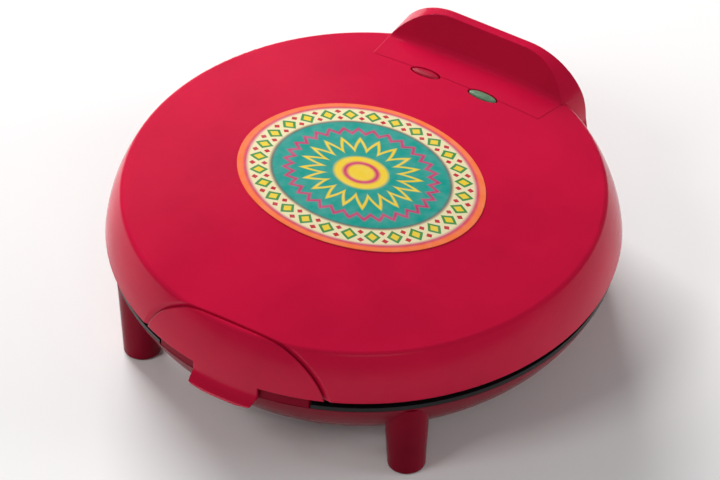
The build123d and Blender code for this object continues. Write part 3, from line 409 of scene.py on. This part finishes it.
def printed_film(settings):
    """Screen-printed polyester film under a gloss varnish: flat inks in oval bands of geometric motifs."""
    made, tree, place, shader = new_material("Screen-printed polyester film", {
        "IOR": 1.5, "Coat Weight": 0.35, "Coat Roughness": 0.12})
    centred = add_node(tree, "Mapping", {"Vector": place, "Location": -LABEL_CENTRE}, vector_type="POINT")
    apart = add_node(tree, "SeparateXYZ", {"Vector": centred})
    across = add_node(tree, "Math", {0: apart.outputs["X"], 1: LABEL_HALF.x}, operation="DIVIDE")
    along = add_node(tree, "Math", {0: apart.outputs["Y"], 1: LABEL_HALF.y}, operation="DIVIDE")
    along_squared = add_node(tree, "Math", {0: along, 1: along}, operation="MULTIPLY")
    squared = add_node(tree, "Math", {0: across, 1: across, 2: along_squared}, operation="MULTIPLY_ADD")
    out = add_node(tree, "Math", {0: squared}, operation="SQRT")
    turn = add_node(tree, "Math", {0: along, 1: across}, operation="ARCTAN2")

    def from_middle(count, offset):
        """Distance from the middle of one of count equal parts of a turn, from 0 to 1."""
        parts = add_node(tree, "Math", {0: turn, 1: count / math.tau, 2: count + offset},
                         operation="MULTIPLY_ADD")
        part = add_node(tree, "Math", {0: parts}, operation="FRACT")
        side = add_node(tree, "Math", {0: part, 1: 2.0, 2: -1.0}, operation="MULTIPLY_ADD")
        return add_node(tree, "Math", {0: side}, operation="ABSOLUTE")

    def diamonds(offset, middle, half_height, width):
        """Value below 1 inside each of a ring of diamonds."""
        lengthways = add_node(tree, "Math", {0: from_middle(settings.motifs, offset), 1: width},
                              operation="DIVIDE")
        beyond = add_node(tree, "Math", {0: out, 1: middle}, operation="SUBTRACT")
        share = add_node(tree, "Math", {0: beyond, 1: half_height}, operation="DIVIDE")
        height = add_node(tree, "Math", {0: share}, operation="ABSOLUTE")
        return add_node(tree, "Math", {0: lengthways, 1: height}, operation="ADD")

    def points(count, depth):
        """Distance from the label's middle that swings by depth, count times a turn."""
        return add_node(tree, "Math", {0: from_middle(count, 0.0), 1: depth, 2: out},
                        operation="MULTIPLY_ADD")

    def print_inks(colour, value, steps):
        """Prints one ink after another where a value is below its limit, each with a soft edge."""
        for limit, ink in steps:
            cover = add_node(tree, "MapRange", {"Value": value, "From Min": limit - PRINT_EDGE,
                                                "From Max": limit + PRINT_EDGE, "To Min": 1.0, "To Max": 0.0})
            colour = add_node(tree, "Mix", {"Factor": cover, "A": colour, "B": linear(INKS[ink])},
                              data_type="RGBA")
        return colour

    colour = print_inks(linear(INKS[EDGE_INK]), out, BORDER_INKS)
    for offset, middle, half_height, width, ink in DIAMOND_ROWS:
        colour = print_inks(colour, diamonds(offset, middle, half_height, width), ((1.0, ink),))
    colour = print_inks(colour, out, FIELD_INKS)
    colour = print_inks(colour, points(ZIGZAG_TURNS, ZIGZAG_DEPTH), ZIGZAG_INKS)
    colour = print_inks(colour, points(RAY_TURNS, RAY_DEPTH), RAY_INKS)
    colour = print_inks(colour, out, MIDDLE_INKS)
    cloud = add_node(tree, "TexNoise", {"Vector": place, "Scale": per_mm(6), "Detail": 3})
    mottle = add_node(tree, "MapRange", {"Value": cloud, **NOISE_RANGE, "To Max": 0.06})
    mottled = add_node(tree, "Mix", {"Factor": mottle, "A": colour, "B": linear("#FFFFFF")},
                       data_type="RGBA")
    screen = add_node(tree, "TexNoise", {"Vector": place, "Scale": per_mm(0.6)})
    gloss = add_node(tree, "MapRange", {"Value": screen, **NOISE_RANGE, "To Min": 0.34, "To Max": 0.44})
    relief = add_node(tree, "Bump", {"Height": screen, "Distance": 0.003 * MM})
    set_inputs(tree, shader, {"Base Color": mottled, "Roughness": gloss, "Normal": relief})
    return made


def studio_floor():
    """Matt painted board, pale grey-white, rolled on: a faint roller texture."""
    made, tree, place, shader = new_material("Matt painted board", {"IOR": 1.45})
    roller = add_node(tree, "TexNoise", {"Vector": place, "Scale": per_mm(3), "Detail": 3})
    cloud = add_node(tree, "TexNoise", {"Vector": place, "Scale": per_mm(400)})
    share = add_node(tree, "MapRange", {"Value": cloud, **NOISE_RANGE})
    colour = add_node(tree, "Mix", {"Factor": share, "A": linear("#FAF9F8"), "B": linear("#F6F5F4")},
                      data_type="RGBA")
    gloss = add_node(tree, "MapRange", {"Value": roller, **NOISE_RANGE, "To Min": 0.7, "To Max": 0.8})
    relief = add_node(tree, "Bump", {"Height": roller, "Distance": 0.02 * MM})
    set_inputs(tree, shader, {"Base Color": colour, "Roughness": gloss, "Normal": relief})
    return made


# ------------------------------------------------------------------ settings
class ShellSettings(bpy.types.PropertyGroup):
    """Moulded shells of lid, base and latch."""
    colour: FloatVectorProperty(name="Shell colour", description="Pigment of lid and latch", subtype="COLOR",
                                size=4, min=0, max=1, default=linear("#CB123C"))
    deep_colour: FloatVectorProperty(name="Deeper colour", description="Pigment where it flowed thicker",
                                     subtype="COLOR", size=4, min=0, max=1, default=linear("#C21039"))
    # The base's two colours are the lid's red plastic made darker as painted shade, for the shade under the
    # lid's overhang; the flow patches between them are random tone
    base_colour_with_painted_shade: FloatVectorProperty(name="Base colour with painted shade", description="Lid's red on the bowl and its legs, darkened as painted shade",
                                     subtype="COLOR", size=4, min=0, max=1, default=linear("#860C26"))
    base_deep_colour_with_painted_shade: FloatVectorProperty(name="Deeper base colour with painted shade", subtype="COLOR", size=4, min=0, max=1,
                                          description="Darker flow patches of the base, darkened as painted shade",
                                          default=linear("#7C0B23"))
    sheen: FloatProperty(name="Sheen", description="Strength of the lid's mirror reflections",
                         subtype="FACTOR", default=0.15, min=0, max=1)
    base_sheen: FloatProperty(name="Base sheen", description="Strength of the base's mirror reflections",
                              subtype="FACTOR", default=0.04, min=0, max=1)
    roughness: FloatProperty(name="Roughness", description="Satin gloss of the moulding", subtype="FACTOR",
                             default=0.22, min=0.05, max=1)
    edge_round: FloatProperty(name="Edge rounding", description="Radius that edges seem to have",
                              unit="LENGTH", default=0.8 * MM, min=0)


class PlateSettings(bpy.types.PropertyGroup):
    """Cooking plates."""
    coat_colour: FloatVectorProperty(name="Coat colour", description="Non-stick coat", subtype="COLOR",
                                     size=4, min=0, max=1, default=linear("#151517"))


class LabelSettings(bpy.types.PropertyGroup):
    """Printed oval label."""
    motifs: IntProperty(name="Border motifs", description="Diamonds round the label's border",
                        default=28, min=4)
    edge_round: FloatProperty(name="Edge", description="Rounding of the label's cut edge", unit="LENGTH",
                              default=0.15 * MM, min=0)


class LampSettings(bpy.types.PropertyGroup):
    """Two lamp lenses."""
    rim_gap: FloatProperty(name="Rim gap", description="Shadow gap between a lens and the lid", unit="LENGTH",
                           default=0.55 * MM, min=0)
    crown: FloatProperty(name="Crown", description="Height of a lens above the dome", unit="LENGTH",
                         default=0.7 * MM, min=0)


class ScrewSettings(bpy.types.PropertyGroup):
    """Visible pan screws."""
    recess_width: FloatProperty(name="Recess width", description="Width of a drive slot", unit="LENGTH",
                                default=0.75 * MM, min=0)
    recess_depth: FloatProperty(name="Recess depth", description="Depth of the drive", unit="LENGTH",
                                default=1.1 * MM, min=0)


class StageSettings(bpy.types.PropertyGroup):
    """Floor, lights and camera."""
    floor_size: FloatProperty(name="Floor size", description="Side of the floor", unit="LENGTH", default=8.0)
    back_power: FloatProperty(name="Back left", description="Softbox low at the back, left", unit="POWER",
                              default=120)
    right_power: FloatProperty(name="Right", description="Softbox low at the right", unit="POWER", default=20)
    front_left_power: FloatProperty(name="Front left", description="Softbox high at the front, left",
                                    unit="POWER", default=19)
    front_right_power: FloatProperty(name="Front right", description="Softbox high at the front, right",
                                     unit="POWER", default=4)
    world_strength: FloatProperty(name="Sky", description="Even light from all round", default=0.16, min=0)


class CookerSettings(bpy.types.PropertyGroup):
    """All settings of the cooker's looks."""
    shells: PointerProperty(type=ShellSettings)
    plates: PointerProperty(type=PlateSettings)
    label: PointerProperty(type=LabelSettings)
    lamps: PointerProperty(type=LampSettings)
    screws: PointerProperty(type=ScrewSettings)
    stage: PointerProperty(type=StageSettings)


# ------------------------------------------------------------------ operators
class COOKER_OT_shells(bpy.types.Operator):
    """Gives lid, base and latch their moulded red finish; the base's darker red is painted shade"""
    bl_idname = "cooker.shells"
    bl_label = "Red shells"

    def execute(self, context):
        settings = context.scene.cooker.shells
        give(moulded_abs(settings, "Moulded red ABS", settings.colour, settings.deep_colour, settings.sheen),
             "lid_housing", "latch")
        # Base: the same red ABS, darkened as painted shade
        give(moulded_abs(settings, "Moulded deep red ABS", settings.base_colour_with_painted_shade, settings.base_deep_colour_with_painted_shade,
                         settings.base_sheen), "base_housing")
        return {"FINISHED"}


class COOKER_OT_plates(bpy.types.Operator):
    """Coats both cooking plates"""
    bl_idname = "cooker.plates"
    bl_label = "Cooking plates"

    def execute(self, context):
        give(non_stick_casting(context.scene.cooker.plates), "lower_plate", "upper_plate")
        return {"FINISHED"}


class COOKER_OT_heating(bpy.types.Operator):
    """Finishes the elements, heat shields, thermostats and fuse"""
    bl_idname = "cooker.heating"
    bl_label = "Heating parts"

    def execute(self, context):
        give(heated_sheath(), "upper_element", "lower_element")
        give(rolled_sheet(), "upper_heat_shield", "lower_heat_shield")
        give(textured_moulding("Moulded phenolic", "#3A2A20", "#46342A", roughness=0.5, grain_mm=0.4,
                               depth_mm=0.01, ior=1.6), "thermostat", "lid_thermostat")
        give(woven_sleeve(), "thermal_fuse")
        return {"FINISHED"}


class COOKER_OT_covers(bpy.types.Operator):
    """Finishes the covers, the inlet bush, the terminal block, the lamp holder and the feet"""
    bl_idname = "cooker.covers"
    bl_label = "Covers, bush and feet"

    def execute(self, context):
        give(textured_moulding("Moulded black polypropylene", "#17171A", "#1F1F22", roughness=0.5,
                               grain_mm=0.35, depth_mm=0.02, ior=1.49),
             "bottom_cover", "rear_cover", "lamp_holder")
        give(textured_moulding("Moulded EPDM rubber", "#121214", "#1A1A1C", roughness=0.72, grain_mm=0.5,
                               depth_mm=0.02, ior=1.52), "cord_inlet_bush", "foot_pads")
        give(textured_moulding("Moulded ivory polyamide", "#DAD6CB", "#E4E0D6", roughness=0.4, grain_mm=0.6,
                               depth_mm=0.01, ior=1.53), "terminal_block")
        return {"FINISHED"}


class COOKER_OT_screws(bpy.types.Operator):
    """Makes pan screws with a cross drive where screws can be seen, and finishes pins and hidden screws"""
    bl_idname = "cooker.screws"
    bl_label = "Screws and pins"

    def execute(self, context):
        settings = context.scene.cooker.screws
        zinc = zinc_plate()
        give(zinc, "lamp_holder_screws", "upper_shield_screws")
        give(ground_steel(), "latch_pin", "hinge_pins")
        heads = {"bottom_cover_screws": ("base", "-Z"), "lower_plate_screws": ("base", "-Z"),
                 "upper_plate_screws": ("lid", "-Z"), "rear_cover_screws": ("base", "+Y")}
        for node, (body, facing) in heads.items():
            bm = bmesh.new()
            for low, high in separate_solids(node):
                self.pan_screw(bm, low, high, facing, settings)
            finished_piece(bm, node + "_drive", zinc, body, node)
        return {"FINISHED"}

    def pan_screw(self, bm, low, high, facing, settings):
        """One screw within the box of its solid, with its head towards facing."""
        size = high - low
        head_radius = min(size.x, size.z if facing == "+Y" else size.y) / 2
        length = size.y if facing == "+Y" else size.z
        head = HEAD_HEIGHTS[facing]
        shank = head_radius * SHANK_SHARE
        depth = min(settings.recess_depth, head * RECESS_DEPTH_LIMIT)
        arm = settings.recess_width / 2
        tip = head_radius * RECESS_REACH
        before = set(bm.verts)
        levels = [(shank * wide, shank * along) for wide, along in SCREW_TIP] + [(shank, length - head)]
        levels += [(head_radius * wide, length - head * deep) for wide, deep in PAN_HEAD]
        loops = [ring(bm, radius, height, SCREW_SEGMENTS)[1] for radius, height in levels]
        for height, share in ((length, 1.0), (length - depth, RECESS_TAPER)):
            corners = []
            for quarter in range(4):
                spin = Matrix.Rotation(quarter * math.pi / 2, 3, "Z")
                for corner in ((arm, arm, 0), (arm, tip, 0), (-arm, tip, 0)):
                    corners.append(bm.verts.new(spin @ (Vector(corner) * share) + Vector((0, 0, height))))
            loops.append([bm.edges.new((a, b)) for a, b in zip(corners, corners[1:] + corners[:1])])
        bridge_stack(bm, loops)
        middle = (low + high) / 2
        if facing == "+Y":
            place = Matrix.Translation((middle.x, low.y, middle.z)) @ Matrix.Rotation(-math.pi / 2, 4, "X")
        else:
            place = Matrix.Translation((middle.x, middle.y, high.z)) @ Matrix.Rotation(math.pi, 4, "X")
        bmesh.ops.transform(bm, matrix=place, verts=[point for point in bm.verts if point not in before])


class COOKER_OT_label(bpy.types.Operator):
    """Makes the oval printed label that follows the dome"""
    bl_idname = "cooker.label"
    bl_label = "Printed label"

    def execute(self, context):
        settings = context.scene.cooker.label
        half = (LABEL_HALF.x, LABEL_HALF.y)
        edge = settings.edge_round
        rim = 1 - edge / half[1]
        under = [(share, FILM_BOND) for share in (FILM_POLE, FILM_UNDER_RING, rim)]
        side = [(1.0, FILM_BOND + edge), (1.0, FILM_THICKNESS - edge)]
        rings = [ring_number / FILM_RINGS for ring_number in range(FILM_RINGS - 1, 1, -1)]
        over = [(share, FILM_THICKNESS) for share in [rim] + rings + [FILM_POLE]]
        bm = bmesh.new()
        oval_on_dome(bm, LABEL_CENTRE, half, under + side + over, FILM_SEGMENTS)
        finished_piece(bm, "label_film", printed_film(settings), "lid", "label_plate")
        return {"FINISHED"}


class COOKER_OT_lamps(bpy.types.Operator):
    """Makes the two lamp lenses and finishes the lamps behind them"""
    bl_idname = "cooker.lamps"
    bl_label = "Lamps"

    def execute(self, context):
        settings = context.scene.cooker.lamps
        dyes = {"power_lens": ("red_lens", "Dyed red polycarbonate", "#D0163E", "#9C0F2C"),
                "ready_lens": ("green_lens", "Dyed green polycarbonate", "#7FA886", "#43694E")}
        for node, (slot, name, code, deep) in dyes.items():
            low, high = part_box(node)
            centre = (low + high) / 2
            flange = (high - low) / 2
            gap = settings.rim_gap
            half = (flange.x - LENS_FLANGE - gap, flange.y - LENS_FLANGE - gap)
            wide = (flange.x - LENS_PLAY) / half[0]
            back = [(LENS_POLE, LENS_BACK), (wide, LENS_BACK), (wide, LENS_SHOULDER)]
            front = [(share, settings.crown * height) for share, height in LENS_CROWN]
            bm = bmesh.new()
            oval_on_dome(bm, centre, half, back + list(LENS_WALL) + front, LENS_SEGMENTS)
            finished_piece(bm, node + "_window", dyed_lens(name, code, deep), "lid", node,
                           sharp_angle=LENS_SHARP_ANGLE)
        give(lamp_glass(), "neon_lamps")
        return {"FINISHED"}


class COOKER_OT_stage(bpy.types.Operator):
    """Sets the floor, the lights and the camera"""
    bl_idname = "cooker.stage"
    bl_label = "Studio"

    def execute(self, context):
        settings = context.scene.cooker.stage
        scene = context.scene
        bm = bmesh.new()
        bmesh.ops.create_grid(bm, x_segments=FLOOR_TILES, y_segments=FLOOR_TILES,
                              size=settings.floor_size / 2)
        mesh = bpy.data.meshes.new("studio_floor")
        bm.to_mesh(mesh)
        bm.free()
        mesh.materials.append(studio_floor())
        floor = bpy.data.objects.new("studio_floor", mesh)
        scene.collection.objects.link(floor)
        world = bpy.data.worlds.new("Studio air")
        world.use_nodes = True
        background = world.node_tree.nodes["Background"]
        background.inputs["Color"].default_value = linear("#F4F5F8")
        background.inputs["Strength"].default_value = settings.world_strength
        scene.world = world
        scene.view_settings.view_transform = "Standard"
        for name, place, size, power, glints in SOFTBOXES:
            self.softbox(name, place, size, getattr(settings, power), glints)
        self.camera(scene)
        return {"FINISHED"}

    def softbox(self, name, place, size, power, glints):
        """Square area light that looks at the lid, and shows in its gloss if it glints."""
        light = bpy.data.lights.new(name, "AREA")
        light.shape = "SQUARE"
        light.size = size
        light.energy = power
        lamp = bpy.data.objects.new(name, light)
        lamp.location = place
        lamp.rotation_euler = (Vector(place) - Vector((0, 0, RIM_HEIGHT))).to_track_quat("Z", "Y").to_euler()
        lamp.visible_glossy = glints
        bpy.context.scene.collection.objects.link(lamp)

    def camera(self, scene):
        """Camera of the photograph, which looks at the middle of the rim."""
        level = math.cos(CAMERA_ELEVATION)
        back = Vector((math.sin(CAMERA_AZIMUTH) * level, -math.cos(CAMERA_AZIMUTH) * level,
                       math.sin(CAMERA_ELEVATION)))
        lens = bpy.data.cameras.new("camera")
        lens.lens = CAMERA_LENS
        lens.sensor_width = SENSOR_WIDTH
        lens.shift_x, lens.shift_y = CAMERA_SHIFT
        lens.clip_end = CAMERA_REACH
        camera = bpy.data.objects.new("camera", lens)
        camera.location = Vector((0, PLATES_AXIS.y, RIM_HEIGHT)) + back * CAMERA_DISTANCE
        camera.rotation_euler = (-back).to_track_quat("-Z", "Y").to_euler()
        scene.collection.objects.link(camera)
        scene.camera = camera


class COOKER_PT_panel(bpy.types.Panel):
    """Sidebar list of the cooker's settings and makers."""
    bl_idname = "COOKER_PT_panel"
    bl_label = "Tortilla cooker"
    bl_space_type = "VIEW_3D"
    bl_region_type = "UI"
    bl_category = "Cooker"

    def draw(self, context):
        settings = context.scene.cooker
        for maker, group in STEPS:
            box = self.layout.box()
            box.operator(maker.bl_idname)
            if group:
                part = getattr(settings, group)
                for key in part.__annotations__:
                    box.prop(part, key)


STEPS = (
    (COOKER_OT_shells, "shells"),
    (COOKER_OT_plates, "plates"),
    (COOKER_OT_heating, None),
    (COOKER_OT_covers, None),
    (COOKER_OT_screws, "screws"),
    (COOKER_OT_label, "label"),
    (COOKER_OT_lamps, "lamps"),
    (COOKER_OT_stage, "stage"),
)
GROUPS = (ShellSettings, PlateSettings, LabelSettings, LampSettings, ScrewSettings, StageSettings,
          CookerSettings)
CLASSES = GROUPS + tuple(maker for maker, group in STEPS) + (COOKER_PT_panel,)


def register():
    for each in CLASSES:
        bpy.utils.register_class(each)
    bpy.types.Scene.cooker = PointerProperty(type=CookerSettings)


def unregister():
    del bpy.types.Scene.cooker
    for each in reversed(CLASSES):
        bpy.utils.unregister_class(each)


def main():
    register()
    for maker, group in STEPS:
        name = maker.bl_idname.split(".")[1]
        getattr(bpy.ops.cooker, name)()


if __name__ == "__main__":
    main()
